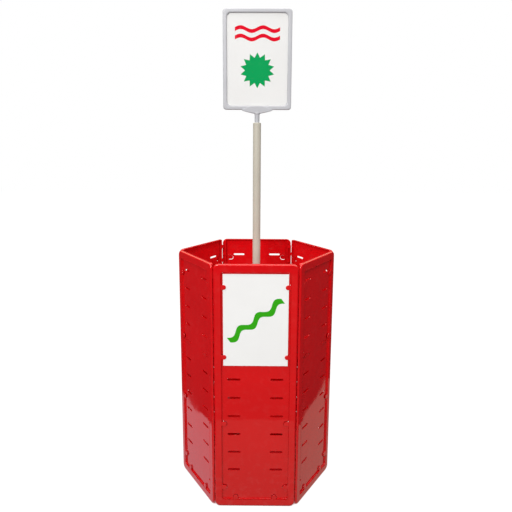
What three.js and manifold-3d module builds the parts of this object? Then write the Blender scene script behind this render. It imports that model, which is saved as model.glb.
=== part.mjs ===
// A hexagonal retail dump bin: six hinged panels round a shelf, with a poster frame on a pole.
// Millimetres, +Z up, the floor at z = 0, the pole on the Z axis and the front facing -Y.
import * as THREE from "three";
import { mergeVertices } from "three/addons/utils/BufferGeometryUtils.js";
import Module from "manifold-3d";

// Driving dimensions: the ring of panels
const PANEL_WIDTH = 265.5; // between the two hinge axes of one panel
const PANEL_HEIGHT = 840;
const PANEL_DEPTH = 12.5; // from the outer face to the edge of the flange
const PANEL_WALL = 3;
const EDGE_ROUND = 5;
const CORNER_ROUND = 17;
const AXIS_DEPTH = 10.5; // from the outer face to a hinge axis
const LIP_DEPTH = 5.5; // of the skin where it stands out over the hinge
const LIP_OVERHANG = 1; // past the hinge axis
const PANEL_COUNT = 6;

// Recess, slots and lugs
const SIDE_BORDER = 24; // from a side edge to the recess
const END_BORDER = 26; // from the top or bottom edge to the recess
const RECESS_DEPTH = 5;
const RECESS_CORNER = 8;
const SLOT_LENGTH = 42;
const SLOT_HEIGHT = 7;
const SLOT_INSET = 40; // from the side of the recess to the middle of a slot
const SLOT_ROWS = 11;
const FIRST_SLOT_DROP = 61.5; // below the top edge
const LAST_SLOT_RISE = 135; // above the bottom edge
const LUG_WIDTH = 15;
const LUG_REACH = 16;
const LUG_THICK = 2.3;
const LUG_TOP = 0.2; // below the outer face
const LUG_ROWS = 4;
const FIRST_LUG_DROP = 74;
const LAST_LUG_RISE = 70.5;
const FOOT_LUG_INSET = 45; // from the side of the recess
const FOOT_LUG_REACH = 15;
const LUG_HOLE_MARGIN = 1.5;

// Snap hinges
const ROD_RADIUS = 2.2;
const HINGE_PLAY = 0.6;
const CLIP_WALL = 1.8;
const FLANGE_SETBACK = 9.6; // from the hinge axis
const HINGE_WEB = [-0.3, 2.3]; // depth range, from the axis, of what ties a knuckle to the flange
const KNUCKLE_HEIGHT = 12;
const KNUCKLE_COUNT = 15; // clips, and as many rod blocks between them
const FIRST_CLIP_DROP = 30;
const LAST_BLOCK_RISE = 24;
const CLIP_MOUTH_TURN = Math.PI / 6; // the mouth turns in by half the corner between two panels

// Shelf and its clips
const SHELF_ROW = 4; // slot row that carries the shelf, counted down from 0
const SHELF_CLEARANCE = 2.3; // to the flange lips
const SHELF_PLATE = 3;
const SHELF_RIM = 18;
const SHELF_RIB = 14;
const SHELF_CORNER_CUT = 9;
const SHELF_CLIP_WIDTH = 34;
const SHELF_CLIP_THICK = 5;
const SHELF_CLIP_LEDGE = 21; // inward from the recess floor
const SHELF_CLIP_LEG = 22; // down the inner face
const SHELF_CLIP_LIP = 1.1;
const SHELF_CLIP_HOOK = 2.6; // below the lower edge of the slot

// Pole
const TUBE_LENGTH = 800;
const TUBE_RADIUS = 13.4;
const TUBE_WALL = 1.5;
const BUSH_HEAD = 5;
const BUSH_LENGTH = 48;
const BUSH_FLOOR = 3;
const PLUG_HEAD = 3;
const PLUG_LENGTH = 14;
const SOCKET_DEPTH = 73.5; // from the top of the shelf
const SOCKET_WALL = 4;
const SOCKET_FLOOR = 3;
const DRAIN_RADIUS = 3;

// Sign
const NECK_RADIUS = 8.1;
const NECK_SHOWN = 30; // between the bush and the holder
const HOLDER_HALF = 51;
const HOLDER_KEEL = 12; // from the holder's bottom to the frame
const HOLDER_CHEEK = 13; // how far the cheeks reach up the frame in the middle
const HOLDER_CHEEK_WALL = 3;
const HOLDER_ROUND = 1.2;
const FRAME_WIDTH = 227;
const FRAME_HEIGHT = 319;
const FRAME_THICK = 9;
const FRAME_BORDER = 13.5;
const FRAME_ROUND = 3.5;
const FRAME_CORNER = 10;
const FRAME_INNER_CORNER = 15;
const POSTER_WIDTH = 210;
const POSTER_HEIGHT = 297;
const SHEET_THICK = 0.5;
const FRONT_SHEET_INSET = 6; // from the side of the recess
const FRONT_SHEET_HEIGHT = 304;
const FRONT_SHEET_DROP = 31;

// Fits
const GAP = 0.3; // between two pieces that touch
const BITE = 1; // how far a cutter or a joined lump reaches past a face
const CORNER_STEPS = 3; // segments in a quarter round
const END_STEPS = 3; // segments in a small half round
const TONGUE_STEPS = 4; // segments in the half round of a lug
const BEAD_STEPS = 2; // segments across a rounded edge
const BOAT_STEPS = 5; // segments in each half of the holder's arch
const TURN_STEPS = 24; // segments in a full turn
const FITTING_STEPS = 16; // segments in a full turn of the small fittings

// Derived sizes
const APOTHEM = PANEL_WIDTH * Math.cos(Math.PI / PANEL_COUNT);
const FACE_DISTANCE = APOTHEM + AXIS_DEPTH; // from the bin's axis to an outer face
const CLIP_BORE = ROD_RADIUS + HINGE_PLAY;
const CLIP_RADIUS = CLIP_BORE + CLIP_WALL;
const HINGE_SIDE = PANEL_WIDTH / 2;
const PANEL_HALF = HINGE_SIDE + LIP_OVERHANG;
const FLANGE_HALF = HINGE_SIDE - FLANGE_SETBACK;
const FLANGE_CORNER = CORNER_ROUND - PANEL_HALF + FLANGE_HALF;
const RECESS_HALF = PANEL_HALF - SIDE_BORDER;
const SLOT_SIDE = RECESS_HALF - SLOT_INSET;
const FOOT_LUG_SIDE = RECESS_HALF - FOOT_LUG_INSET;
const FRONT_SHEET_WIDTH = 2 * (RECESS_HALF - FRONT_SHEET_INSET);
const RECESS_FLOOR_BACK = RECESS_DEPTH + PANEL_WALL;
const MIDDLE_Z = PANEL_HEIGHT / 2;
const SLOT_PITCH = (PANEL_HEIGHT - FIRST_SLOT_DROP - LAST_SLOT_RISE) / (SLOT_ROWS - 1);
const LUG_PITCH = (PANEL_HEIGHT - FIRST_LUG_DROP - LAST_LUG_RISE) / (LUG_ROWS - 1);
const KNUCKLE_PITCH = (PANEL_HEIGHT - FIRST_CLIP_DROP - LAST_BLOCK_RISE) / (KNUCKLE_COUNT - 1 / 2);
const SHELF_SLOT_Z = PANEL_HEIGHT - FIRST_SLOT_DROP - SHELF_ROW * SLOT_PITCH;
const LEDGE_Z = SHELF_SLOT_Z - SLOT_HEIGHT / 2 + GAP + SHELF_CLIP_THICK;
const SHELF_BOTTOM = LEDGE_Z + GAP;
const SHELF_TOP = SHELF_BOTTOM + SHELF_RIM;
const SHELF_APOTHEM = FACE_DISTANCE - PANEL_DEPTH - SHELF_CLEARANCE;
const SOCKET_FLOOR_Z = SHELF_TOP - SOCKET_DEPTH;
const TUBE_BOTTOM = SOCKET_FLOOR_Z + GAP + PLUG_HEAD + GAP;
const TUBE_TOP = TUBE_BOTTOM + TUBE_LENGTH;
const BUSH_TOP = TUBE_TOP + GAP + BUSH_HEAD;
const SOCKET_BORE = TUBE_RADIUS + GAP;
const TUBE_BORE = TUBE_RADIUS - TUBE_WALL;
const PIN_BOTTOM = BUSH_TOP - BUSH_LENGTH + BUSH_FLOOR + GAP;
const HOLDER_BOTTOM = BUSH_TOP + NECK_SHOWN;
const FRAME_BOTTOM = HOLDER_BOTTOM + HOLDER_KEEL;
const FRAME_MIDDLE = FRAME_BOTTOM + FRAME_HEIGHT / 2;
const GROOVE_THICK = 2 * SHEET_THICK + 3 * GAP;
const POSTER_BOTTOM = FRAME_MIDDLE - POSTER_HEIGHT / 2;

// Materials
const plastic = (color, roughness = 0.25) =>
  new THREE.MeshStandardMaterial({ color, roughness, metalness: 0 });
const RED = 0xd01c1c;
const LIGHT_GREY = 0xd7d7da;
const WARM_GREY = 0xc8c4b6;
const PAPER = 0xf0f0ee;

// Solids and meshes
const wasm = await Module();
wasm.setup();

function solidOf(geometry) {
  const plain = geometry.index ? geometry.toNonIndexed() : geometry.clone();
  plain.deleteAttribute("normal");
  plain.deleteAttribute("uv");
  const merged = mergeVertices(plain, 1e-4);
  return new wasm.Manifold(
    new wasm.Mesh({
      numProp: 3,
      vertProperties: new Float32Array(merged.attributes.position.array),
      triVerts: new Uint32Array(merged.index.array),
    }),
  );
}

function geometryOf(solid) {
  const mesh = solid.getMesh();
  const geometry = new THREE.BufferGeometry();
  geometry.setAttribute("position", new THREE.BufferAttribute(mesh.vertProperties, 3));
  geometry.setIndex(new THREE.BufferAttribute(mesh.triVerts, 1));
  geometry.computeVertexNormals();
  return geometry;
}

const joined = (geometries) => wasm.Manifold.union(geometries.map(solidOf));

// An outline drawn in x and z, made solid between two depths along +Y.
function slab(shape, from, to) {
  const geometry = new THREE.ExtrudeGeometry(shape, { depth: to - from, bevelEnabled: false });
  return geometry.rotateX(Math.PI / 2).translate(0, to, 0);
}

// An outline drawn in x and y, made solid between two heights.
function column(shape, from, to) {
  const geometry = new THREE.ExtrudeGeometry(shape, { depth: to - from, bevelEnabled: false });
  return geometry.translate(0, 0, from);
}

// The same as slab about y = 0, with both rims of the outline rounded.
function beadedSlab(shape, thick, round) {
  const geometry = new THREE.ExtrudeGeometry(shape, {
    depth: thick - 2 * round,
    bevelThickness: round,
    bevelSize: round,
    bevelOffset: -round,
    bevelSegments: BEAD_STEPS,
    curveSegments: BOAT_STEPS,
  });
  return geometry.rotateX(Math.PI / 2).translate(0, thick / 2 - round, 0);
}

function block(x, y, z) {
  const geometry = new THREE.BoxGeometry(x[1] - x[0], y[1] - y[0], z[1] - z[0]);
  return geometry.translate((x[0] + x[1]) / 2, (y[0] + y[1]) / 2, (z[0] + z[1]) / 2);
}

// A closed profile of (radius, height) points turned about the Z axis.
function turned(profile, steps = TURN_STEPS) {
  const points = profile.map(([radius, height]) => new THREE.Vector2(radius, height));
  points.push(points[0].clone());
  return new THREE.LatheGeometry(points, steps).rotateX(Math.PI / 2);
}

function arc(x, y, radius, from, to, steps) {
  return Array.from({ length: steps + 1 }, (_, i) => {
    const angle = from + ((to - from) * i) / steps;
    return new THREE.Vector2(x + radius * Math.cos(angle), y + radius * Math.sin(angle));
  });
}

function rounded(halfWidth, bottom, top, radius, Path = THREE.Shape) {
  const side = halfWidth - radius;
  const corners = [
    [side, bottom + radius],
    [side, top - radius],
    [-side, top - radius],
    [-side, bottom + radius],
  ];
  return new Path(
    corners.flatMap(([x, y], i) => {
      const from = ((i - 1) * Math.PI) / 2;
      return arc(x, y, radius, from, from + Math.PI / 2, CORNER_STEPS);
    }),
  );
}

function slotOutline(x, z) {
  const radius = SLOT_HEIGHT / 2;
  const reach = SLOT_LENGTH / 2 - radius;
  return new THREE.Shape([
    ...arc(x + reach, z, radius, -Math.PI / 2, Math.PI / 2, END_STEPS),
    ...arc(x - reach, z, radius, Math.PI / 2, 1.5 * Math.PI, END_STEPS),
  ]);
}

// A tongue with a half-round end that stands along +x from its root.
function tongueOutline(reach, width, root) {
  const radius = width / 2;
  return new THREE.Shape([
    new THREE.Vector2(root, radius),
    new THREE.Vector2(root, -radius),
    ...arc(reach - radius, 0, radius, -Math.PI / 2, Math.PI / 2, TONGUE_STEPS),
  ]);
}

const spread = (count, first, pitch) => Array.from({ length: count }, (_, i) => first + i * pitch);
const slotHeights = spread(SLOT_ROWS, PANEL_HEIGHT - FIRST_SLOT_DROP, -SLOT_PITCH);
const lugHeights = spread(LUG_ROWS, PANEL_HEIGHT - FIRST_LUG_DROP, -LUG_PITCH);
const clipHeights = spread(KNUCKLE_COUNT, PANEL_HEIGHT - FIRST_CLIP_DROP, -KNUCKLE_PITCH);
const blockHeights = clipHeights.map((z) => z - KNUCKLE_PITCH / 2);

// Where each lug stands: its root on the recess wall and the way it points.
const lugPlaces = [
  ...lugHeights.flatMap((z) => [
    { x: -RECESS_HALF, z, turn: 0, reach: LUG_REACH },
    { x: RECESS_HALF, z, turn: Math.PI, reach: LUG_REACH },
  ]),
  ...[-FOOT_LUG_SIDE, FOOT_LUG_SIDE].map((x) => ({
    x,
    z: END_BORDER,
    turn: Math.PI / 2,
    reach: FOOT_LUG_REACH,
  })),
];

function lugSlab(place, margin, root, from, to) {
  const outline = tongueOutline(place.reach + margin, LUG_WIDTH + 2 * margin, root);
  return slab(outline, from, to).rotateY(-place.turn).translate(place.x, 0, place.z);
}

// The panel lies with its outer face on y = 0, its depth along +Y and its middle on x = 0.
function panelShell() {
  const outline = rounded(PANEL_HALF, 0, PANEL_HEIGHT, CORNER_ROUND);
  const pillow = beadedSlab(outline, 2 * LIP_DEPTH, EDGE_ROUND).translate(0, LIP_DEPTH, 0);
  const kept = block([-PANEL_WIDTH, PANEL_WIDTH], [-BITE, LIP_DEPTH], [-BITE, PANEL_HEIGHT + BITE]);
  const flange = rounded(FLANGE_HALF, 0, PANEL_HEIGHT, FLANGE_CORNER);
  const flangeStart = (EDGE_ROUND + LIP_DEPTH) / 2;
  const skin = solidOf(pillow).intersect(solidOf(kept));
  const blank = skin.add(solidOf(slab(flange, flangeStart, PANEL_DEPTH)));
  const recess = rounded(RECESS_HALF, END_BORDER, PANEL_HEIGHT - END_BORDER, RECESS_CORNER);
  const inside = () =>
    rounded(FLANGE_HALF - PANEL_WALL, PANEL_WALL, PANEL_HEIGHT - PANEL_WALL, FLANGE_CORNER - PANEL_WALL);
  const channel = inside();
  const plateauHalf = RECESS_HALF + PANEL_WALL;
  const plateauEnd = END_BORDER - PANEL_WALL;
  channel.holes.push(
    rounded(plateauHalf, plateauEnd, PANEL_HEIGHT - plateauEnd, RECESS_CORNER + PANEL_WALL, THREE.Path),
  );
  const openings = [
    slab(recess, -BITE, RECESS_DEPTH),
    slab(inside(), RECESS_FLOOR_BACK, PANEL_DEPTH + BITE),
    slab(channel, PANEL_WALL, RECESS_FLOOR_BACK + BITE),
    ...slotHeights.flatMap((z) =>
      [-SLOT_SIDE, SLOT_SIDE].map((x) =>
        slab(slotOutline(x, z), RECESS_DEPTH - BITE, RECESS_FLOOR_BACK + BITE),
      ),
    ),
    ...lugPlaces.map((place) =>
      lugSlab(place, LUG_HOLE_MARGIN, 0, RECESS_DEPTH - BITE, RECESS_FLOOR_BACK + BITE),
    ),
  ];
  return blank.subtract(joined(openings));
}

// A half-round trough at the left hinge axis, open to the neighbour's rod and rooted in the flange.
function hingeClip(z) {
  const low = -CLIP_MOUTH_TURN - Math.PI / 2;
  const high = low + Math.PI;
  const outer = arc(0, 0, CLIP_RADIUS, low, high, END_STEPS);
  const root = HINGE_SIDE - FLANGE_HALF + BITE;
  const outline = new THREE.Shape([
    ...outer.slice(0, 2),
    new THREE.Vector2(CLIP_RADIUS, HINGE_WEB[0]),
    new THREE.Vector2(root, HINGE_WEB[0]),
    new THREE.Vector2(root, HINGE_WEB[1]),
    ...outer.slice(-1),
    ...arc(0, 0, CLIP_BORE, high, low, END_STEPS),
  ]);
  const trough = column(outline, z - KNUCKLE_HEIGHT / 2, z + KNUCKLE_HEIGHT / 2);
  return trough.translate(-HINGE_SIDE, AXIS_DEPTH, 0);
}

// The round rod at the right hinge axis, on blocks that stand from the flange.
function hingeRod() {
  const top = clipHeights[0] + KNUCKLE_HEIGHT / 2;
  const bottom = Math.min(...blockHeights) - KNUCKLE_HEIGHT / 2;
  const rod = new THREE.CylinderGeometry(ROD_RADIUS, ROD_RADIUS, top - bottom, TURN_STEPS / 3);
  rod.rotateX(Math.PI / 2).translate(HINGE_SIDE, AXIS_DEPTH, (top + bottom) / 2);
  const blocks = blockHeights.map((z) =>
    block(
      [FLANGE_HALF - BITE, HINGE_SIDE],
      HINGE_WEB.map((y) => AXIS_DEPTH + y),
      [z - KNUCKLE_HEIGHT / 2, z + KNUCKLE_HEIGHT / 2],
    ),
  );
  return [rod, ...blocks];
}

function panelGeometry() {
  const lugs = lugPlaces.map((place) => lugSlab(place, 0, -BITE, LUG_TOP, LUG_TOP + LUG_THICK));
  const added = joined([...lugs, ...clipHeights.map(hingeClip), ...hingeRod()]);
  return geometryOf(panelShell().add(added));
}

// A bracket that hooks down over the slot's lower edge and holds a ledge inside.
function shelfClipGeometry() {
  const slotFloor = SHELF_SLOT_Z - SLOT_HEIGHT / 2;
  const hookFront = RECESS_DEPTH - GAP - SHELF_CLIP_LIP;
  const inner = RECESS_FLOOR_BACK + GAP;
  const outline = new THREE.Shape();
  outline.moveTo(hookFront, slotFloor - SHELF_CLIP_HOOK);
  outline.lineTo(hookFront + SHELF_CLIP_LIP, slotFloor - SHELF_CLIP_HOOK);
  outline.lineTo(hookFront + SHELF_CLIP_LIP, slotFloor + GAP);
  outline.lineTo(inner, slotFloor + GAP);
  outline.lineTo(inner, slotFloor - SHELF_CLIP_LEG);
  outline.lineTo(inner + PANEL_WALL, slotFloor - SHELF_CLIP_LEG);
  outline.lineTo(inner + SHELF_CLIP_LEDGE, slotFloor + GAP);
  outline.lineTo(inner + SHELF_CLIP_LEDGE, LEDGE_Z);
  outline.lineTo(hookFront, LEDGE_Z);
  outline.closePath();
  const bracket = slab(outline, -SHELF_CLIP_WIDTH / 2, SHELF_CLIP_WIDTH / 2);
  return bracket.rotateZ(Math.PI / 2);
}

function hexagon(apothem, cut, Path = THREE.Shape) {
  const radius = apothem / Math.cos(Math.PI / PANEL_COUNT);
  const corner = (k) => {
    const angle = (k * 2 * Math.PI) / PANEL_COUNT;
    return new THREE.Vector2(radius * Math.cos(angle), radius * Math.sin(angle));
  };
  const points = [];
  for (let k = 0; k < PANEL_COUNT; k += 1) {
    for (const neighbour of [k - 1, k + 1]) {
      points.push(corner(k).lerp(corner(neighbour), cut / radius));
    }
  }
  return new Path(points);
}

function shelfGeometry() {
  const plateBottom = SHELF_TOP - SHELF_PLATE;
  const rim = hexagon(SHELF_APOTHEM, SHELF_CORNER_CUT);
  rim.holes.push(hexagon(SHELF_APOTHEM - PANEL_WALL, SHELF_CORNER_CUT, THREE.Path));
  const socketRadius = SOCKET_BORE + SOCKET_WALL;
  const ribEnd = SHELF_APOTHEM - PANEL_WALL / 2;
  const ribs = spread(PANEL_COUNT, Math.PI / PANEL_COUNT, (2 * Math.PI) / PANEL_COUNT).map((angle) =>
    block(
      [socketRadius - SOCKET_WALL / 2, ribEnd],
      [-PANEL_WALL / 2, PANEL_WALL / 2],
      [plateBottom - SHELF_RIB, plateBottom + BITE],
    ).rotateZ(angle),
  );
  const socketBottom = SOCKET_FLOOR_Z - SOCKET_FLOOR;
  const socket = turned([
    [0, socketBottom],
    [socketRadius, socketBottom],
    [socketRadius, SHELF_TOP - BITE],
    [0, SHELF_TOP - BITE],
  ]);
  const bore = turned([
    [0, SOCKET_FLOOR_Z],
    [SOCKET_BORE, SOCKET_FLOOR_Z],
    [SOCKET_BORE, SHELF_TOP + BITE],
    [0, SHELF_TOP + BITE],
  ]);
  const drain = turned([
    [0, socketBottom - BITE],
    [DRAIN_RADIUS, socketBottom - BITE],
    [DRAIN_RADIUS, SOCKET_FLOOR_Z + BITE],
    [0, SOCKET_FLOOR_Z + BITE],
  ]);
  const plate = column(hexagon(SHELF_APOTHEM, SHELF_CORNER_CUT), plateBottom, SHELF_TOP);
  const body = joined([plate, column(rim, SHELF_BOTTOM, SHELF_TOP), socket, ...ribs]);
  return geometryOf(body.subtract(joined([bore, drain])));
}

const tubeGeometry = () =>
  turned([
    [TUBE_BORE, TUBE_BOTTOM],
    [TUBE_RADIUS, TUBE_BOTTOM],
    [TUBE_RADIUS, TUBE_TOP],
    [TUBE_BORE, TUBE_TOP],
  ]);

function plugGeometry() {
  const headTop = TUBE_BOTTOM - GAP;
  return turned([
    [0, headTop - PLUG_HEAD],
    [TUBE_RADIUS, headTop - PLUG_HEAD],
    [TUBE_RADIUS, headTop],
    [TUBE_BORE - GAP, headTop],
    [TUBE_BORE - GAP, headTop + PLUG_LENGTH],
    [0, headTop + PLUG_LENGTH],
  ], FITTING_STEPS);
}

function bushGeometry() {
  const headBottom = BUSH_TOP - BUSH_HEAD;
  const bottom = BUSH_TOP - BUSH_LENGTH;
  const round = BUSH_HEAD / 2;
  return turned([
    [0, bottom],
    [TUBE_BORE - GAP, bottom],
    [TUBE_BORE - GAP, headBottom],
    [TUBE_RADIUS, headBottom],
    [TUBE_RADIUS, BUSH_TOP - round],
    [TUBE_RADIUS - round * (1 - Math.SQRT1_2), BUSH_TOP - round * (1 - Math.SQRT1_2)],
    [TUBE_RADIUS - round, BUSH_TOP],
    [NECK_RADIUS + GAP, BUSH_TOP],
    [NECK_RADIUS + GAP, bottom + BUSH_FLOOR],
    [0, bottom + BUSH_FLOOR],
  ], FITTING_STEPS);
}

// The neck that turns in the bush and the boat-shaped clip that the frame stands in.
function holderGeometry() {
  const neck = turned([
    [0, PIN_BOTTOM],
    [NECK_RADIUS, PIN_BOTTOM],
    [NECK_RADIUS, HOLDER_BOTTOM + HOLDER_ROUND + BITE],
    [0, HOLDER_BOTTOM + HOLDER_ROUND + BITE],
  ], FITTING_STEPS);
  const cheekTop = FRAME_BOTTOM + HOLDER_CHEEK;
  const heel = NECK_RADIUS + 2 * HOLDER_ROUND;
  const endZ = FRAME_BOTTOM - HOLDER_ROUND;
  const boat = new THREE.Shape();
  boat.moveTo(-heel, HOLDER_BOTTOM);
  boat.lineTo(heel, HOLDER_BOTTOM);
  boat.lineTo(HOLDER_HALF, endZ);
  boat.quadraticCurveTo(HOLDER_HALF / 2, cheekTop, 0, cheekTop);
  boat.quadraticCurveTo(-HOLDER_HALF / 2, cheekTop, -HOLDER_HALF, endZ);
  boat.closePath();
  const hull = beadedSlab(boat, FRAME_THICK + 2 * (GAP + HOLDER_CHEEK_WALL), HOLDER_ROUND);
  const trench = block(
    [-FRAME_WIDTH, FRAME_WIDTH],
    [-FRAME_THICK / 2 - GAP, FRAME_THICK / 2 + GAP],
    [FRAME_BOTTOM - GAP, cheekTop + BITE],
  );
  return geometryOf(solidOf(hull).subtract(solidOf(trench)).add(solidOf(neck)));
}

// A bead-edged ring with a groove that is open at the top, where the sheet slides in.
function frameGeometry() {
  const outline = rounded(FRAME_WIDTH / 2, FRAME_BOTTOM, FRAME_BOTTOM + FRAME_HEIGHT, FRAME_CORNER);
  outline.holes.push(
    rounded(
      FRAME_WIDTH / 2 - FRAME_BORDER,
      FRAME_BOTTOM + FRAME_BORDER,
      FRAME_BOTTOM + FRAME_HEIGHT - FRAME_BORDER,
      FRAME_INNER_CORNER,
      THREE.Path,
    ),
  );
  const ring = beadedSlab(outline, FRAME_THICK, FRAME_ROUND);
  const groove = block(
    [-POSTER_WIDTH / 2 - GAP, POSTER_WIDTH / 2 + GAP],
    [-GROOVE_THICK / 2, GROOVE_THICK / 2],
    [POSTER_BOTTOM - GAP, FRAME_BOTTOM + FRAME_HEIGHT + BITE],
  );
  return geometryOf(solidOf(ring).subtract(solidOf(groove)));
}

function sheetGeometry(width, bottom, height, front) {
  return block([-width / 2, width / 2], [front, front + SHEET_THICK], [bottom, bottom + height]);
}

// The assembly
const bin = new THREE.Group();
bin.name = "dump_bin";

function piece(name, geometry, material, parent = bin) {
  const mesh = new THREE.Mesh(geometry, material);
  mesh.name = name;
  parent.add(mesh);
  return mesh;
}

const sides = ["front", "front_right", "back_right", "back", "back_left", "front_left"];
const panelForm = panelGeometry();
const shelfClipForm = shelfClipGeometry();
sides.forEach((side, k) => {
  const turn = new THREE.Group();
  turn.rotation.z = (k * 2 * Math.PI) / PANEL_COUNT;
  const wall = new THREE.Group();
  wall.position.y = -FACE_DISTANCE;
  turn.add(wall);
  bin.add(turn);
  piece(`panel_${side}`, panelForm, plastic(RED), wall);
  [-SLOT_SIDE, SLOT_SIDE].forEach((x, i) => {
    piece(`shelf_clip_${side}_${i + 1}`, shelfClipForm, plastic(RED), wall).position.x = x;
  });
  if (side === "front") {
    const sheetBottom = PANEL_HEIGHT - FRONT_SHEET_DROP - FRONT_SHEET_HEIGHT;
    const sheetFront = LUG_TOP + LUG_THICK + GAP;
    const form = sheetGeometry(FRONT_SHEET_WIDTH, sheetBottom, FRONT_SHEET_HEIGHT, sheetFront);
    piece("front_sheet", form, plastic(PAPER, 0.6), wall);
  }
});

piece("shelf", shelfGeometry(), plastic(RED, 0.35));
piece("pole_tube", tubeGeometry(), plastic(WARM_GREY, 0.4));
piece("pole_foot_plug", plugGeometry(), plastic(LIGHT_GREY, 0.5));
piece("pole_top_bush", bushGeometry(), plastic(WARM_GREY, 0.4));

const sign = new THREE.Group();
bin.add(sign);
piece("sign_holder", holderGeometry(), plastic(LIGHT_GREY, 0.35), sign);
piece("poster_frame", frameGeometry(), plastic(LIGHT_GREY, 0.35), sign);
const filmFront = -GROOVE_THICK / 2 + GAP;
const posterFront = filmFront + SHEET_THICK + GAP;
const posterForm = (front) => sheetGeometry(POSTER_WIDTH, POSTER_BOTTOM, POSTER_HEIGHT, front);
piece("poster_film", posterForm(filmFront), plastic(PAPER, 0.1), sign);
piece("poster_sheet", posterForm(posterFront), plastic(PAPER, 0.6), sign);

export default bin;
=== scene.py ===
"""Studio scene of a hexagonal red dump bin with a framed poster on a pole."""

import math

import bmesh
import bpy
from mathutils import Matrix, Vector

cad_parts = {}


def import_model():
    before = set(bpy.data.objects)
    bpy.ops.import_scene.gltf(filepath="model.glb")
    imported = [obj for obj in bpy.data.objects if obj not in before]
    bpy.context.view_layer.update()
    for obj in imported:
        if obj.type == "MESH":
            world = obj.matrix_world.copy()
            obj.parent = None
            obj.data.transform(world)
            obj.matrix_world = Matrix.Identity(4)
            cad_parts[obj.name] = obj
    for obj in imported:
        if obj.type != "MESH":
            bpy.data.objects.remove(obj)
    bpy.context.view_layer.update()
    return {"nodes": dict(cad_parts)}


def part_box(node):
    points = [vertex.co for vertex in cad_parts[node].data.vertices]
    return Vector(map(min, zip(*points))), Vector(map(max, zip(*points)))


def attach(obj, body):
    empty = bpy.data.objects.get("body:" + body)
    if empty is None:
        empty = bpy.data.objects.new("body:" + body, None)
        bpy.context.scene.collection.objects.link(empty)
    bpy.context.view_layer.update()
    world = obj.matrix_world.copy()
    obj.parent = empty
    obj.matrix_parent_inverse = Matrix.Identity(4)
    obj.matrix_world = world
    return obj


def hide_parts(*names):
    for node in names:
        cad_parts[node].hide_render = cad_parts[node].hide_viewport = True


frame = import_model()
scene = bpy.context.scene

MM = 0.001

# Sizes shared with the solid model, in millimetres
PANEL_WIDTH = 265.5
PANEL_HEIGHT = 840
PANEL_DEPTH = 12.5
PANEL_WALL = 3
EDGE_ROUND = 5
CORNER_ROUND = 17
AXIS_DEPTH = 10.5
LIP_DEPTH = 5.5
LIP_OVERHANG = 1
SIDE_BORDER = 24
END_BORDER = 26
RECESS_DEPTH = 5
RECESS_CORNER = 8
SLOT_LENGTH = 42
SLOT_HEIGHT = 7
SLOT_INSET = 40
SLOT_ROWS = 11
FIRST_SLOT_DROP = 61.5
LAST_SLOT_RISE = 135
LUG_WIDTH = 15
LUG_REACH = 16
LUG_THICK = 2.3
LUG_TOP = 0.2
LUG_ROWS = 4
FIRST_LUG_DROP = 74
LAST_LUG_RISE = 70.5
FOOT_LUG_INSET = 45
FOOT_LUG_REACH = 15
LUG_HOLE_MARGIN = 1.5
ROD_RADIUS = 2.2
HINGE_PLAY = 0.6
CLIP_WALL = 1.8
CLIP_TURN = -math.pi / 6
FLANGE_SETBACK = 9.6
WEB_FRONT = -0.3
WEB_BACK = 2.3
KNUCKLE_HEIGHT = 12
KNUCKLE_COUNT = 15
FIRST_CLIP_DROP = 30
LAST_BLOCK_RISE = 24
GAP = 0.3
BITE = 1
TUBE_RADIUS = 13.4
TUBE_WALL = 1.5
BUSH_HEAD = 5
BUSH_LENGTH = 48
BUSH_FLOOR = 3
NECK_RADIUS = 8.1
HOLDER_HALF = 51
HOLDER_KEEL = 12
HOLDER_CHEEK = 13
HOLDER_CHEEK_WALL = 3
FRAME_WIDTH = 227
FRAME_HEIGHT = 319
FRAME_THICK = 9
FRAME_BORDER = 13.5
FRAME_CORNER = 10
FRAME_INNER_CORNER = 15
POSTER_WIDTH = 210
POSTER_HEIGHT = 297
SHEET_THICK = 0.5

# Finer rounds and tapers, in millimetres
ROUND_EASE = 0.45  # keeps the true round inside the solid's flat-sided one
FLANGE_ROUND = 0.8
RECESS_LIP_ROUND = 1.6
RECESS_ROOT_ROUND = 1.2
SLOT_ROUND = 0.7
LUG_ROUND = 0.8
LUG_ROOT = 2.2  # how far a lug reaches back into the border
LUG_HOLE_ROOT = 0.05
TUBE_ROUND = 0.5
BUSH_ROUND = 2.5
NECK_ROUND = 0.8
NECK_FLARE = [(0.0, -5.0), (0.4, -2.5), (1.6, 0.0), (0.8, 3.0)]  # added radius, height over the keel
FRAME_OUTER_ROUND = 3.5
FRAME_INNER_ROUND = 3.8
HOLDER_ROUND = 2.0
HOLDER_HEEL = 2.4
HOLDER_TIP_DROP = 1.2
HOLDER_TIP_HALF = 0.9
HOLDER_BELLY_SHARE = 0.72
HOLDER_BELLY_DROP = 5.5
AXIS_CORE = 0.05  # turned profiles stop just short of their axis
INK_NEAR = 0.06
INK_FAR = 0.12

MERGE_DISTANCE = 1e-5  # in the unit that the mesh has at the time
WELD_DISTANCE = 1e-6
SHARP_ANGLE = math.radians(38)
BEVEL_ANGLE = math.radians(40)
FACE_WEIGHT = 100

SIDES = ["front", "front_right", "back_right", "back", "back_left", "front_left"]
HINGE_SIDE = PANEL_WIDTH / 2
FACE_DISTANCE = PANEL_WIDTH * math.cos(math.pi / 6) + AXIS_DEPTH
CLIP_BORE = ROD_RADIUS + HINGE_PLAY
CLIP_RADIUS = CLIP_BORE + CLIP_WALL
PANEL_HALF = HINGE_SIDE + LIP_OVERHANG
FLANGE_HALF = HINGE_SIDE - FLANGE_SETBACK
FLANGE_CORNER = CORNER_ROUND - PANEL_HALF + FLANGE_HALF
RECESS_HALF = PANEL_HALF - SIDE_BORDER
FLOOR_BACK = RECESS_DEPTH + PANEL_WALL


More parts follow.
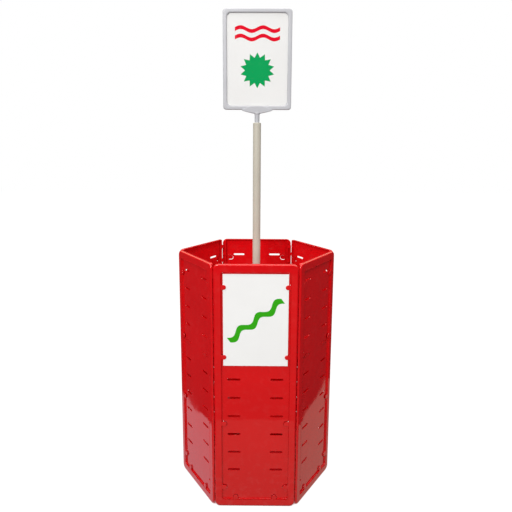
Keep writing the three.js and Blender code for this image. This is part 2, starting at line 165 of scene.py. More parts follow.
# Outlines and solids, drawn in millimetres
def arc(x, y, radius, start, end, steps):
    angles = [start + (end - start) * i / steps for i in range(steps + 1)]
    return [(x + radius * math.cos(a), y + radius * math.sin(a)) for a in angles]


def rectangle(x0, y0, x1, y1):
    return [(x0, y0), (x1, y0), (x1, y1), (x0, y1)]


def rounded(half, low, high, radius, steps=6):
    side, bottom, top = half - radius, low + radius, high - radius
    corners = [(side, bottom), (side, top), (-side, top), (-side, bottom)]
    points = []
    for i, (x, y) in enumerate(corners):
        start = (i - 1) * math.pi / 2
        points += arc(x, y, radius, start, start + math.pi / 2, steps)
    return points


def slot_outline(x, z, grow, steps=6):
    radius = SLOT_HEIGHT / 2 + grow
    reach = SLOT_LENGTH / 2 - SLOT_HEIGHT / 2
    right = arc(x + reach, z, radius, -math.pi / 2, math.pi / 2, steps)
    left = arc(x - reach, z, radius, math.pi / 2, 1.5 * math.pi, steps)
    return right + left


def tongue_outline(place, grow, root, steps=8):
    """A round-ended tongue at (x, z, direction, reach) that begins at root along its length."""
    x, z, turn, reach = place
    radius = LUG_WIDTH / 2 + grow
    local = [(root, radius), (root, -radius)]
    local += arc(reach - LUG_WIDTH / 2, 0, radius, -math.pi / 2, math.pi / 2, steps)
    c, s = math.cos(turn), math.sin(turn)
    return [(x + c * a - s * b, z + s * a + c * b) for a, b in local]


def quarter(radius, steps):
    """(how far in from the side, depth) along a quarter round that starts on the face."""
    turns = [math.pi / 2 * i / steps for i in range(steps + 1)]
    return [(radius * (1 - math.sin(a)), radius * (1 - math.cos(a))) for a in turns]


def loft(loops):
    """A closed solid through outlines that have the same number of points."""
    count = len(loops[0])
    verts = [point for loop in loops for point in loop]
    last = (len(loops) - 1) * count
    faces = [tuple(range(count)), tuple(reversed(range(last, last + count)))]
    for k in range(len(loops) - 1):
        for i in range(count):
            a, b = k * count + i, k * count + (i + 1) % count
            faces.append((a, a + count, b + count, b))
    return verts, faces


def ring(loops):
    """A closed ring through outlines, the last joined back to the first."""
    count, turns = len(loops[0]), len(loops)
    verts = [point for loop in loops for point in loop]
    faces = []
    for k in range(turns):
        for i in range(count):
            j, n = (i + 1) % count, (k + 1) % turns
            faces.append((k * count + i, n * count + i, n * count + j, k * count + j))
    return verts, faces


def upright(outline, depth):
    return [(x, depth, z) for x, z in outline]


def level(outline, height):
    return [(x, y, height) for x, y in outline]


def plate(outline, front, back):
    return loft([upright(outline, front), upright(outline, back)])


def column(outline, low, high):
    return loft([level(outline, low), level(outline, high)])


def lathe(profile, steps=64):
    """A closed profile of (radius, height) points turned about the Z axis."""
    loops = []
    for k in range(steps):
        a = 2 * math.pi * k / steps
        loops.append([(r * math.cos(a), r * math.sin(a), z) for r, z in profile])
    return ring(loops)


# Meshes
def clean(mesh):
    bm = bmesh.new()
    bm.from_mesh(mesh)
    bmesh.ops.remove_doubles(bm, verts=bm.verts, dist=MERGE_DISTANCE)
    bmesh.ops.recalc_face_normals(bm, faces=bm.faces)
    bm.to_mesh(mesh)
    bm.free()


def made(name, *solids):
    verts, faces = [], []
    for some_verts, some_faces in solids:
        base = len(verts)
        verts += some_verts
        faces += [tuple(base + i for i in face) for face in some_faces]
    mesh = bpy.data.meshes.new(name)
    mesh.from_pydata(verts, [], faces)
    clean(mesh)
    obj = bpy.data.objects.new(name, mesh)
    scene.collection.objects.link(obj)
    return obj


def combine(obj, operation, *solids):
    """Adds solids to the mesh of obj, or cuts them from it. The solids don't touch each other."""
    other = made("tool", *solids)
    change = obj.modifiers.new("combine", "BOOLEAN")
    change.operation = operation
    change.solver = "MANIFOLD"
    change.object = other
    bpy.context.view_layer.update()
    shaped = obj.evaluated_get(bpy.context.evaluated_depsgraph_get())
    result = bpy.data.meshes.new_from_object(shaped)
    obj.modifiers.clear()
    obj.data = result
    bpy.data.objects.remove(other)


def to_metres(obj):
    obj.data.transform(Matrix.Scale(MM, 4))


def smooth(obj):
    obj.data.shade_smooth()
    obj.data.set_sharp_from_angle(angle=SHARP_ANGLE)
    weights = obj.modifiers.new("weights", "WEIGHTED_NORMAL")
    weights.keep_sharp = True
    weights.weight = FACE_WEIGHT


def placed(obj, body, node, material):
    """Dresses a piece and hangs it on its body, in place of a node where one is named."""
    obj.data.materials.clear()
    obj.data.materials.append(material)
    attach(obj, body)
    if node:
        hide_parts(node)


# Materials
class Graph:
    """Short names for building the nodes of one material."""

    def __init__(self, name):
        self.material = bpy.data.materials.new(name)
        self.material.use_nodes = True
        self.tree = self.material.node_tree
        self.tree.nodes.clear()
        self.output = self.add("ShaderNodeOutputMaterial")

    def add(self, kind, inputs=None, **settings):
        node = self.tree.nodes.new(kind)
        for key, value in settings.items():
            setattr(node, key, value)
        for key, value in (inputs or {}).items():
            self.put(node.inputs[key], value)
        return node

    def put(self, socket, value):
        if isinstance(value, bpy.types.NodeSocket):
            self.tree.links.new(value, socket)
        else:
            socket.default_value = value

    def place(self):
        return self.add("ShaderNodeTexCoord").outputs["Object"]

    def noise(self, vector, scale, detail=3.0, rough=0.5):
        node = self.add(
            "ShaderNodeTexNoise",
            {"Vector": vector, "Scale": scale, "Detail": detail, "Roughness": rough},
        )
        return node.outputs[0]

    def ranged(self, value, span, low=0.0, high=1.0):
        """Maps the span of a value to low and high, and holds it there beyond the span."""
        node = self.add(
            "ShaderNodeMapRange",
            {"Value": value, "From Min": span[0], "From Max": span[1], "To Min": low, "To Max": high},
        )
        return node.outputs[0]

    def math(self, operation, a, b):
        return self.add("ShaderNodeMath", {0: a, 1: b}, operation=operation).outputs[0]

    def mixed(self, factor, a, b):
        node = self.add("ShaderNodeMix", data_type="RGBA")
        self.put(node.inputs[0], factor)
        self.put(node.inputs[6], a)
        self.put(node.inputs[7], b)
        return node.outputs[2]

    def stretched(self, vector, scale):
        return self.add("ShaderNodeMapping", {"Vector": vector, "Scale": scale}).outputs[0]

    def bump(self, height, distance, strength=1.0, normal=None):
        inputs = {"Height": height, "Distance": distance, "Strength": strength}
        if normal is not None:
            inputs["Normal"] = normal
        return self.add("ShaderNodeBump", inputs).outputs[0]

    def shade(self, **inputs):
        named = {key.replace("_", " "): value for key, value in inputs.items()}
        shader = self.add("ShaderNodeBsdfPrincipled", named)
        self.tree.links.new(shader.outputs[0], self.output.inputs[0])
        return self.material


def linear(red, green, blue):
    def one(value):
        value /= 255
        return value / 12.92 if value <= 0.04045 else ((value + 0.055) / 1.055) ** 2.4

    return (one(red), one(green), one(blue), 1.0)


def scaled(color, factor):
    return tuple(channel * factor for channel in color[:3]) + (1.0,)


WHITE = (1.0, 1.0, 1.0, 1.0)
PANEL_RED = linear(212, 14, 20)
RUBBED = scaled(linear(215, 200, 195), 0.8)
NOISE_SPAN = (0.3, 0.7)  # most of a noise lies in here
GRIME_SPAN = (0.50, 0.72)
SCRATCH_SPAN = (0.70, 0.76)
SMEAR_SPAN = (0.35, 0.7)
HAIR_STRETCH = (900.0, 900.0, 30.0)
FIBRE_STRETCH = (700.0, 700.0, 260.0)
FOOT_HEIGHTS = (0.02, 0.20)
# painted shade: heights over which the plastic darkens towards its foot, full at the first and gone
# at the second
FOOT_SHADE_HEIGHTS = (0.02, 0.45)
WEAR_ABOVE_FOOT = 0.12
WEAR_ELSEWHERE = 0.15
WEAR_DULLS = 0.16
WEAR_PALES = 0.12
SCRATCH_DULLS = 0.05
TINT_DARK = 0.95
TINT_LIGHT = 1.04
# how dark the painted shade makes the plastic at its foot
TINT_FOOT_SHADE = 0.84
TINT_PAPER = 0.97
FIBRE_RELIEF = 0.00002


def plastic(name, color, roughness, peel, waviness, foot_wear_and_shade=0.0):
    """Moulded plastic: uneven colour, hair scratches, grime and a fine peel, with painted shade
    darkening it towards a foot.
    """
    g = Graph(name)
    where = g.place()
    broad = g.noise(where, scale=7.0, detail=2.0)
    tint = g.mixed(g.ranged(broad, NOISE_SPAN), scaled(color, TINT_DARK), scaled(color, TINT_LIGHT))
    hair = g.noise(g.stretched(where, HAIR_STRETCH), scale=1.0, detail=4.0, rough=0.65)
    scratch = g.ranged(hair, SCRATCH_SPAN)
    wear = g.ranged(g.noise(where, scale=38.0, detail=5.0, rough=0.6), GRIME_SPAN)
    if foot_wear_and_shade:
        height = g.add("ShaderNodeSeparateXYZ", {0: where}).outputs[2]
        wear = g.math("MULTIPLY", wear, g.ranged(height, FOOT_HEIGHTS, foot_wear_and_shade, WEAR_ABOVE_FOOT))
        # painted shade: darker towards the foot, standing in for light that falls off there
        tint = g.mixed(g.ranged(height, FOOT_SHADE_HEIGHTS, 1.0, 0.0), tint, scaled(color, TINT_FOOT_SHADE))
    else:
        wear = g.math("MULTIPLY", wear, WEAR_ELSEWHERE)
    worn = g.math("MULTIPLY", wear, WEAR_DULLS)
    scratched = g.math("MULTIPLY", scratch, SCRATCH_DULLS)
    rough = g.ranged(broad, NOISE_SPAN, roughness - 0.02, roughness + 0.03)
    wave = g.bump(g.noise(where, scale=16.0, detail=1.0), waviness)
    skin = g.bump(g.noise(where, scale=420.0, detail=2.0), peel, normal=wave)
    return g.shade(
        Base_Color=g.mixed(g.math("MULTIPLY", wear, WEAR_PALES), tint, RUBBED),
        Roughness=g.math("ADD", rough, g.math("ADD", worn, scratched)),
        Normal=skin,
        IOR=1.5,
    )


def paper(name, color, roughness=0.55, gloss=0.2):
    """Paper or printed ink: a faint cloud of colour and a fine upright fibre."""
    g = Graph(name)
    where = g.place()
    fibre = g.noise(g.stretched(where, FIBRE_STRETCH), scale=1.0, detail=5.0, rough=0.6)
    cloud = g.noise(where, scale=9.0)
    return g.shade(
        Base_Color=g.mixed(g.ranged(cloud, NOISE_SPAN), scaled(color, TINT_PAPER), color),
        Roughness=g.ranged(fibre, NOISE_SPAN, roughness - 0.06, roughness + 0.06),
        Normal=g.bump(fibre, FIBRE_RELIEF, strength=0.6),
        Specular_IOR_Level=gloss,
    )


def film(name):
    """Clear film, seen only by its smeared gloss."""
    g = Graph(name)
    where = g.place()
    return g.shade(
        Base_Color=linear(90, 90, 90),
        Roughness=g.ranged(g.noise(where, scale=14.0), SMEAR_SPAN, 0.08, 0.2),
        Normal=g.bump(g.noise(where, scale=9.0, detail=1.0), 0.0004, strength=0.5),
        Alpha=0.01,
        IOR=1.45,
    )


RED = plastic("red_plastic", PANEL_RED, 0.045, peel=0.00001, waviness=0.0003, foot_wear_and_shade=0.35)
RED_INNER = plastic("red_plastic_fittings", linear(205, 16, 20), 0.25, peel=0.00002, waviness=0.0002)
FRAME_GREY = plastic("frame_grey", linear(188, 188, 192), 0.34, peel=0.00003, waviness=0.0002)
POLE_GREY = plastic("pole_grey", linear(194, 188, 173), 0.38, peel=0.00003, waviness=0.0002)
PAPER = paper("paper_white", linear(241, 240, 238))
POSTER_PAPER = paper("poster_paper_white", linear(233, 232, 230))
INK_GREEN = paper("ink_green", linear(52, 165, 22), 0.6, gloss=0.05)
INK_DEEP_GREEN = paper("ink_deep_green", linear(0, 157, 84), 0.6, gloss=0.05)
INK_RED = paper("ink_red", linear(224, 0, 36), 0.6, gloss=0.05)
CLEAR = film("clear_film")


# The panel, built once with its outer face on y = 0 and its depth along +Y
def heights(count, first, last):
    return [first + (last - first) * i / (count - 1) for i in range(count)]


SLOT_HEIGHTS = heights(SLOT_ROWS, PANEL_HEIGHT - FIRST_SLOT_DROP, LAST_SLOT_RISE)
LUG_HEIGHTS = heights(LUG_ROWS, PANEL_HEIGHT - FIRST_LUG_DROP, LAST_LUG_RISE)
KNUCKLES = heights(2 * KNUCKLE_COUNT, PANEL_HEIGHT - FIRST_CLIP_DROP, LAST_BLOCK_RISE)
CLIPS, BLOCKS = KNUCKLES[0::2], KNUCKLES[1::2]
SIDE_LUGS = [
    (side * RECESS_HALF, z, 0 if side < 0 else math.pi, LUG_REACH)
    for z in LUG_HEIGHTS
    for side in (-1, 1)
]
FOOT_LUGS = [
    (side * (RECESS_HALF - FOOT_LUG_INSET), END_BORDER, math.pi / 2, FOOT_LUG_REACH)
    for side in (-1, 1)
]
LUG_PLACES = SIDE_LUGS + FOOT_LUGS


def panel_outline(inset):
    return rounded(PANEL_HALF - inset, inset, PANEL_HEIGHT - inset, CORNER_ROUND - inset, steps=8)


def flange_outline(inset, steps=8):
    return rounded(FLANGE_HALF - inset, inset, PANEL_HEIGHT - inset, FLANGE_CORNER - inset, steps)


def recess_outline(grow):
    low, high = END_BORDER - grow, PANEL_HEIGHT - END_BORDER + grow
    return rounded(RECESS_HALF + grow, low, high, RECESS_CORNER + grow)


def panel_blank():
    edge = quarter(EDGE_ROUND + ROUND_EASE, steps=6)
    loops = [upright(panel_outline(inset), depth) for inset, depth in edge]
    loops.append(upright(panel_outline(0), LIP_DEPTH))
    return loft(loops)


def panel_flange():
    loops = [upright(flange_outline(0), (EDGE_ROUND + LIP_DEPTH) / 2)]
    edge = reversed(quarter(FLANGE_ROUND, steps=3))
    loops += [upright(flange_outline(inset), PANEL_DEPTH - depth) for inset, depth in edge]
    return loft(loops)


def recess_cutter():
    lip = RECESS_LIP_ROUND
    loops = [upright(recess_outline(lip), -BITE)]
    loops += [upright(recess_outline(lip - out), depth) for depth, out in quarter(lip, steps=4)]
    root = reversed(quarter(RECESS_ROOT_ROUND, steps=3))
    loops += [upright(recess_outline(-inset), RECESS_DEPTH - depth) for inset, depth in root]
    return loft(loops)


def slot_cutter(x, z):
    lip = SLOT_ROUND
    loops = [upright(slot_outline(x, z, lip), RECESS_DEPTH - BITE)]
    for depth, out in quarter(lip, steps=3):
        loops.append(upright(slot_outline(x, z, lip - out), RECESS_DEPTH + depth))
    loops.append(upright(slot_outline(x, z, 0), FLOOR_BACK + BITE))
    return loft(loops)


def lug_hole(place):
    outline = tongue_outline(place, LUG_HOLE_MARGIN, LUG_HOLE_ROOT)
    return plate(outline, RECESS_DEPTH - BITE, FLOOR_BACK + BITE)


def lug(place):
    loops = []
    for inset, depth in quarter(LUG_ROUND, steps=3):
        loops.append(upright(tongue_outline(place, -inset, -LUG_ROOT), LUG_TOP + depth))
    loops.append(upright(tongue_outline(place, 0, -LUG_ROOT), LUG_TOP + LUG_THICK))
    return loft(loops)


def knuckle(outline, z):
    return column(outline, z - KNUCKLE_HEIGHT / 2, z + KNUCKLE_HEIGHT / 2)


def hinge_clip(z):
    """An open half-round shell about the neighbour's rod, with a web back to the flange."""
    low = CLIP_TURN - math.pi / 2
    high = low + math.pi
    root = HINGE_SIDE - FLANGE_HALF + BITE
    outer = arc(0, 0, CLIP_RADIUS, low, high, steps=10)
    outline = [point for point in outer if point[1] < WEB_FRONT]
    outline += [
        (math.sqrt(CLIP_RADIUS**2 - WEB_FRONT**2), WEB_FRONT),
        (root, WEB_FRONT),
        (root, WEB_BACK),
        (math.sqrt(CLIP_RADIUS**2 - WEB_BACK**2), WEB_BACK),
    ]
    outline += [point for point in outer if point[1] > WEB_BACK]
    outline += arc(0, 0, CLIP_BORE, high, low, steps=10)
    return knuckle([(x - HINGE_SIDE, y + AXIS_DEPTH) for x, y in outline], z)


def hinge_block(z):
    front, back = AXIS_DEPTH + WEB_FRONT, AXIS_DEPTH + WEB_BACK
    return knuckle(rectangle(FLANGE_HALF - BITE, front, HINGE_SIDE, back), z)


def hinge_rod(sides=16):
    last = sides - 1
    circle = arc(HINGE_SIDE, AXIS_DEPTH, ROD_RADIUS, 0, 2 * math.pi * last / sides, steps=last)
    return column(circle, BLOCKS[-1] - KNUCKLE_HEIGHT / 2, CLIPS[0] + KNUCKLE_HEIGHT / 2)


def panel_object():
    obj = made("panel_form", panel_blank())
    combine(obj, "UNION", panel_flange())
    combine(obj, "DIFFERENCE", recess_cutter())
    pan = flange_outline(PANEL_WALL, steps=6)
    combine(obj, "DIFFERENCE", plate(pan, FLOOR_BACK, PANEL_DEPTH + BITE))
    plateau = recess_outline(PANEL_WALL)
    channel = [upright(pan, PANEL_WALL), upright(pan, FLOOR_BACK + BITE)]
    channel += [upright(plateau, FLOOR_BACK + BITE), upright(plateau, PANEL_WALL)]
    combine(obj, "DIFFERENCE", ring(channel))
    slot_side = RECESS_HALF - SLOT_INSET
    slots = [slot_cutter(side * slot_side, z) for z in SLOT_HEIGHTS for side in (-1, 1)]
    combine(obj, "DIFFERENCE", *slots)
    combine(obj, "DIFFERENCE", *[lug_hole(place) for place in LUG_PLACES])
    combine(obj, "UNION", *[lug(place) for place in LUG_PLACES])
    combine(obj, "UNION", *[hinge_clip(z) for z in CLIPS])
    combine(obj, "UNION", *[hinge_block(z) for z in BLOCKS])
    combine(obj, "UNION", hinge_rod())
    to_metres(obj)
    clean(obj.data)
    return obj


form = panel_object()
for k, side in enumerate(SIDES):
    shown = bpy.data.objects.new(f"panel_{side}_moulding", form.data.copy())
    scene.collection.objects.link(shown)
    turn = Matrix.Rotation(k * math.pi / 3, 4, "Z")
    shown.data.transform(turn @ Matrix.Translation((0, -FACE_DISTANCE * MM, 0)))
    smooth(shown)
    placed(shown, side, f"panel_{side}", RED)
bpy.data.objects.remove(form)


# Pieces that keep the solid model's own shape, with softened edges
def soften(node, material, width):
    obj = frame["nodes"][node]
    obj.data.materials.clear()
    obj.data.materials.append(material)
    obj.data.shade_smooth()
    weld = obj.modifiers.new("weld", "WELD")
    weld.merge_threshold = WELD_DISTANCE
    bevel = obj.modifiers.new("bevel", "BEVEL")
    bevel.width = width * MM
    bevel.segments = 2
    bevel.limit_method = "ANGLE"
    bevel.angle_limit = BEVEL_ANGLE
    weights = obj.modifiers.new("weights", "WEIGHTED_NORMAL")
    weights.weight = FACE_WEIGHT


for side in SIDES:
    for number in (1, 2):
        soften(f"shelf_clip_{side}_{number}", RED_INNER, width=0.4)
soften("shelf", RED_INNER, width=0.5)
soften("pole_foot_plug", FRAME_GREY, width=0.4)
soften("front_sheet", PAPER, width=0.1)
soften("poster_sheet", POSTER_PAPER, width=0.1)
soften("poster_film", CLEAR, width=0.1)


# Pole
def edge_round(radius, height, amount, steps=4, upward=True):
    """Points of (radius, height) that round the outer edge at that height."""
    sign = 1 if upward else -1
    points = [(radius - inset, height - sign * depth) for inset, depth in quarter(amount, steps)]
    return list(reversed(points)) if upward else points


def pole_piece(name, profile, node):
    obj = made(name, lathe(profile))
    to_metres(obj)
    smooth(obj)
    placed(obj, "pole", node, POLE_GREY)


tube_low, tube_high = [corner.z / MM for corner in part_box("pole_tube")]
bore = TUBE_RADIUS - TUBE_WALL
tube_profile = [(bore, tube_low)] + edge_round(TUBE_RADIUS, tube_low, TUBE_ROUND, upward=False)
tube_profile += edge_round(TUBE_RADIUS, tube_high, TUBE_ROUND) + [(bore, tube_high)]
pole_piece("pole_tube_turned", tube_profile, "pole_tube")

bush_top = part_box("pole_top_bush")[1].z / MM
bush_low = bush_top - BUSH_LENGTH
socket = bush_low + BUSH_FLOOR
shank = bore - GAP
hole = NECK_RADIUS + GAP
bush_profile = [(AXIS_CORE, bush_low), (shank, bush_low), (shank, bush_top - BUSH_HEAD)]
bush_profile += [(TUBE_RADIUS, bush_top - BUSH_HEAD)]
bush_profile += edge_round(TUBE_RADIUS, bush_top, BUSH_ROUND, steps=6)
bush_profile += [(hole, bush_top), (hole, socket), (AXIS_CORE, socket)]
pole_piece("pole_bush_turned", bush_profile, "pole_top_bush")

# Sign
frame_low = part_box("poster_frame")[0].z / MM
frame_high = frame_low + FRAME_HEIGHT


def frame_outline(inset):
    share = inset / FRAME_BORDER
    radius = FRAME_CORNER + (FRAME_INNER_CORNER - FRAME_CORNER) * share
    return rounded(FRAME_WIDTH / 2 - inset, frame_low + inset, frame_high - inset, radius, steps=10)


def frame_object():
    half = FRAME_THICK / 2
    outer = reversed(quarter(FRAME_OUTER_ROUND, steps=6))
    section = [(inset, -half + depth) for inset, depth in outer]
    inner = quarter(FRAME_INNER_ROUND, steps=6)
    section += [(FRAME_BORDER - inset, -half + depth) for inset, depth in inner]
    section += [(inset, -depth) for inset, depth in reversed(section)]
    obj = made("poster_frame_bead", ring([upright(frame_outline(i), d) for i, d in section]))
    wide, thick = POSTER_WIDTH / 2 + GAP, SHEET_THICK + 1.5 * GAP
    bottom = (frame_low + frame_high - POSTER_HEIGHT) / 2 - GAP
    groove = column(rectangle(-wide, -thick, wide, thick), bottom, frame_high + BITE)
    combine(obj, "DIFFERENCE", groove)
    to_metres(obj)
    smooth(obj)
    return obj


placed(frame_object(), "sign", "poster_frame", FRAME_GREY)


def curve(start, control, end, steps):
    points = []
    for i in range(steps + 1):
        t = i / steps
        p, q, r = (1 - t) ** 2, 2 * t * (1 - t), t * t
        points.append(tuple(p * a + q * b + r * c for a, b, c in zip(start, control, end)))
    return points


def boat_outline(grow):
    """The holder's clip from the front: a keel below the frame and a low arch before it."""
    bottom = frame_low - HOLDER_KEEL - grow
    top = frame_low + HOLDER_CHEEK + grow
    tip = frame_low - HOLDER_TIP_DROP
    half = HOLDER_HALF + grow
    heel = NECK_RADIUS + HOLDER_HEEL + grow
    belly = (half * HOLDER_BELLY_SHARE, tip - HOLDER_BELLY_DROP)
    right = curve((heel, bottom), belly, (half, tip - HOLDER_TIP_HALF), steps=10)
    right += curve((half, tip + HOLDER_TIP_HALF), (half / 2, top), (0, top), steps=16)
    left = [(-x, z) for x, z in reversed(right[:-1])]
    return right + left


def holder_object():
    channel = FRAME_THICK / 2 + GAP
    half = channel + HOLDER_CHEEK_WALL
    rims = quarter(HOLDER_ROUND, steps=4)
    loops = [upright(boat_outline(-inset), -half + depth) for inset, depth in rims]
    loops += [upright(boat_outline(-inset), half - depth) for inset, depth in reversed(rims)]
    obj = made("sign_holder_clip", loft(loops))
    trench = rectangle(-FRAME_WIDTH, -channel, FRAME_WIDTH, channel)
    combine(obj, "DIFFERENCE", column(trench, frame_low - GAP, frame_low + HOLDER_CHEEK + BITE))
    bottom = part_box("sign_holder")[0].z / MM
    keel = frame_low - HOLDER_KEEL
    neck = [(AXIS_CORE, bottom)] + edge_round(NECK_RADIUS, bottom, NECK_ROUND, upward=False)
    neck += [(NECK_RADIUS + out, keel + up) for out, up in NECK_FLARE]
    neck.append((AXIS_CORE, keel + NECK_FLARE[-1][1]))
    combine(obj, "UNION", lathe(neck, steps=48))
    to_metres(obj)
    clean(obj.data)
    smooth(obj)
    return obj


placed(holder_object(), "sign", "sign_holder", FRAME_GREY)


# Printed motifs, as thin layers of ink just in front of each sheet
def ink(name, outlines, node, body, material):
    """Outlines are in millimetres from the middle of the sheet's front face."""
    corner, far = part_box(node)
    middle_x = (corner.x + far.x) / 2 / MM
    middle_z = (corner.z + far.z) / 2 / MM
    face = corner.y / MM
    solids = []
    for outline in outlines:
        there = [(x + middle_x, z + middle_z) for x, z in outline]
        solids.append(plate(there, face - INK_FAR, face - INK_NEAR))
    obj = made(name, *solids)
    to_metres(obj)
    placed(obj, body, None, material)


def turned(outline, degrees):
    across, up = math.cos(math.radians(degrees)), math.sin(math.radians(degrees))
    return [(x * across - z * up, x * up + z * across) for x, z in outline]


def burst(z, outer, inner, points):
    radii = [outer if i % 2 == 0 else inner for i in range(2 * points)]
    turns = [math.pi * i / points + math.pi / 2 for i in range(2 * points)]
    return [(r * math.cos(a), z + r * math.sin(a)) for r, a in zip(radii, turns)]


def wave_band(z, half, thick, swing, waves, steps=60):
    xs = [-half + 2 * half * i / steps for i in range(steps + 1)]
    crest = [(x, z + swing * math.sin(waves * math.pi * x / half)) for x in xs]
    under = [(x, y - thick / 2) for x, y in crest]
    over = [(x, y + thick / 2) for x, y in reversed(crest)]
    return under + over


POSTER_BURST = burst(z=-33, outer=57, inner=41, points=14)
POSTER_WAVES = [wave_band(z, half=74, thick=12, swing=6, waves=2) for z in (96, 70)]
SHEET_WAVE = turned(wave_band(0, half=108, thick=20, swing=9, waves=3), degrees=37)
ink("poster_burst_ink", [POSTER_BURST], "poster_sheet", "poster", INK_DEEP_GREEN)
ink("poster_wave_ink", POSTER_WAVES, "poster_sheet", "poster", INK_RED)
ink("front_sheet_ink", [SHEET_WAVE], "front_sheet", "front", INK_GREEN)

# Floor and reflections, in metres
FLOOR_REACH = 12
FLOOR_TINT = linear(60, 60, 60)
FLOOR_WHITE = 0.97
FLOOR_BOUNCE = 0.02
# red glow of the floor inside the bin: painted shade where the camera sees it, painted light for the
# rays that light the inside
FLOOR_SHADE = 0.36
FLOOR_SHADE_BOUNCE = 2.2
OPEN_SKY_REACH = 0.6
OPEN_SKY_SPAN = (0.12, 0.40)
UNIT_SPAN = (0.0, 1.0)
CARD_HEIGHT = 0.0004
CEILING_HEIGHT = 3.2
PATCH_NEAR = [(0.13, -0.24), (0.52, -0.24), (0.60, 0.09)]
PATCH_RIGHT_FAR = [(0.79, 0.33), (0.95, 0.50), (0.13, 0.50)]
RIGHT_PATCH = PATCH_NEAR + PATCH_RIGHT_FAR
PATCH_LEFT_FAR = [(0.655, 0.22), (0.70, 0.29), (0.80, 0.40), (0.13, 0.40)]
LEFT_PATCH = [(-x, y) for x, y in reversed(PATCH_NEAR + PATCH_LEFT_FAR)]
FRONT_PATCH = rectangle(-0.4, -0.835, 0.4, -0.24)
FAR_PATCH = rectangle(-1.0, -3.6, 1.0, -0.835)
CEILING = rectangle(-3.0, -3.0, 3.0, 3.0)
CEILING_BACK = rectangle(-5.0, 3.0, 5.0, 7.5)


def stage_plane(name, points, height, material):
    mesh = bpy.data.meshes.new(name)
    mesh.from_pydata(level(points, height), [], [tuple(range(len(points)))])
    mesh.materials.append(material)
    obj = bpy.data.objects.new(name, mesh)
    scene.collection.objects.link(obj)
    return obj


def floor_material():
    """Pale floor that the camera sees as almost white, except where the bin closes round it: there it
    glows red, as painted shade for the camera and as painted light for the rays that light the
    inside.
    """
    g = Graph("floor_pale")
    cloud = g.noise(g.place(), scale=2.0, detail=4.0)
    seen = g.add("ShaderNodeLightPath").outputs["Is Camera Ray"]
    sky = g.add("ShaderNodeAmbientOcclusion", {"Distance": OPEN_SKY_REACH}, samples=24).outputs["AO"]
    outside = g.ranged(sky, OPEN_SKY_SPAN)
    bright = g.ranged(seen, UNIT_SPAN, FLOOR_BOUNCE, FLOOR_WHITE)
    shaded = g.ranged(seen, UNIT_SPAN, FLOOR_SHADE_BOUNCE, FLOOR_SHADE)
    return g.shade(
        Base_Color=g.mixed(cloud, scaled(FLOOR_TINT, 0.96), FLOOR_TINT),
        Roughness=g.ranged(cloud, NOISE_SPAN, 0.75, 0.85),
        # painted shade and painted light: a red glow where the bin closes round the floor
        Emission_Color=g.mixed(outside, PANEL_RED, WHITE),
        Emission_Strength=g.ranged(outside, UNIT_SPAN, shaded, bright),
    )


def card(name, points, height, strength, color):
    """A bright patch of the studio that only reflections show."""
    g = Graph(name)
    glow = g.add("ShaderNodeEmission", {"Color": color, "Strength": strength})
    g.tree.links.new(glow.outputs[0], g.output.inputs[0])
    obj = stage_plane(name, points, height, g.material)
    obj.visible_camera = False
    obj.visible_diffuse = False
    obj.visible_shadow = False
    obj.visible_transmission = False


floor_outline = rectangle(-FLOOR_REACH, -FLOOR_REACH, FLOOR_REACH, FLOOR_REACH)
floor = stage_plane("floor", floor_outline, 0.0, floor_material())
floor.visible_glossy = False
card("floor_card_right", RIGHT_PATCH, CARD_HEIGHT, strength=0.55, color=(1.0, 0.86, 0.72, 1.0))
card("floor_card_left", LEFT_PATCH, CARD_HEIGHT, strength=0.77, color=(1.0, 0.89, 0.96, 1.0))
card("floor_card_front", FRONT_PATCH, CARD_HEIGHT, strength=0.46, color=(1.0, 0.98, 0.80, 1.0))
card("floor_card_far", FAR_PATCH, CARD_HEIGHT, strength=0.2, color=(1.0, 0.98, 0.80, 1.0))
card("ceiling_card", CEILING, CEILING_HEIGHT, strength=2.4, color=(1.0, 0.97, 0.90, 1.0))
card("ceiling_card_back", CEILING_BACK, CEILING_HEIGHT, strength=1.3, color=(1.0, 0.90, 0.65, 1.0))

# World and lights
WORLD_LIGHT = 0.92
WORLD_SHEEN = 0.045
WORLD_SHEEN_TINT = (1.0, 0.96, 0.98, 1.0)


def background(tree, color, strength):
    shade = tree.nodes.new("ShaderNodeBackground")
    shade.inputs[0].default_value = color
    shade.inputs[1].default_value = strength
    return shade.outputs[0]


def chosen(tree, ray, otherwise, then):
    """One background for rays of a kind, and another for all the rest."""
    mix = tree.nodes.new("ShaderNodeMixShader")
    for socket, source in zip(mix.inputs, (ray, otherwise, then)):
        tree.links.new(source, socket)
    return mix.outputs[0]


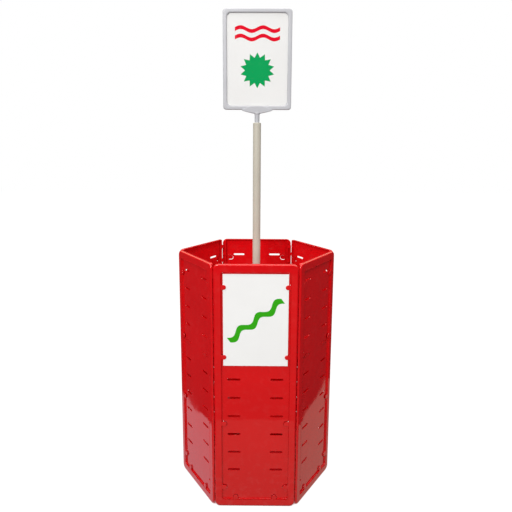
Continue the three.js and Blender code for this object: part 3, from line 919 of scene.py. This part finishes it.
def world():
    studio = bpy.data.worlds.new("studio")
    studio.use_nodes = True
    tree = studio.node_tree
    tree.nodes.clear()
    rays = tree.nodes.new("ShaderNodeLightPath").outputs
    soft = background(tree, WHITE, WORLD_LIGHT)
    sheen = background(tree, WORLD_SHEEN_TINT, WORLD_SHEEN)
    lit = chosen(tree, rays["Is Glossy Ray"], soft, sheen)
    shown = chosen(tree, rays["Is Camera Ray"], lit, background(tree, WHITE, 1.0))
    output = tree.nodes.new("ShaderNodeOutputWorld")
    tree.links.new(shown, output.inputs[0])
    scene.world = studio


def area_light(name, place, target, size, power):
    data = bpy.data.lights.new(name, "AREA")
    data.size = size
    data.energy = power
    obj = bpy.data.objects.new(name, data)
    scene.collection.objects.link(obj)
    obj.location = place
    aim = Vector(target) - Vector(place)
    obj.rotation_euler = aim.to_track_quat("-Z", "Y").to_euler()


world()
area_light("overhead", (0.0, 0.2, 5.0), target=(0.0, 0.0, 0.5), size=4.0, power=85)
area_light("key", (-1.9, -5.5, 3.6), target=(0.0, 0.0, 0.7), size=2.0, power=225)

# Camera, from the bin's own edges in the photograph
CAMERA_PLACE = (0.0108, -1.9378, 1.2102)
CAMERA_AZIMUTH = math.radians(0.36)
CAMERA_TILT = math.radians(11.42)
CAMERA_ROLL = math.radians(0.27)
CAMERA_SENSOR = 36.0
CAMERA_LENS = 39.375


def camera():
    across, down = math.cos(CAMERA_TILT), math.sin(CAMERA_TILT)
    aim = (-math.sin(CAMERA_AZIMUTH) * across, math.cos(CAMERA_AZIMUTH) * across, -down)
    data = bpy.data.cameras.new("camera")
    data.sensor_width = CAMERA_SENSOR
    data.lens = CAMERA_LENS
    data.dof.use_dof = False
    obj = bpy.data.objects.new("camera", data)
    scene.collection.objects.link(obj)
    turn = Vector(aim).to_track_quat("-Z", "Y").to_matrix().to_4x4()
    turn = turn @ Matrix.Rotation(CAMERA_ROLL, 4, "Z")
    obj.matrix_world = Matrix.Translation(CAMERA_PLACE) @ turn
    scene.camera = obj


camera()
scene.view_settings.view_transform = "Standard"
scene.view_settings.look = "None"
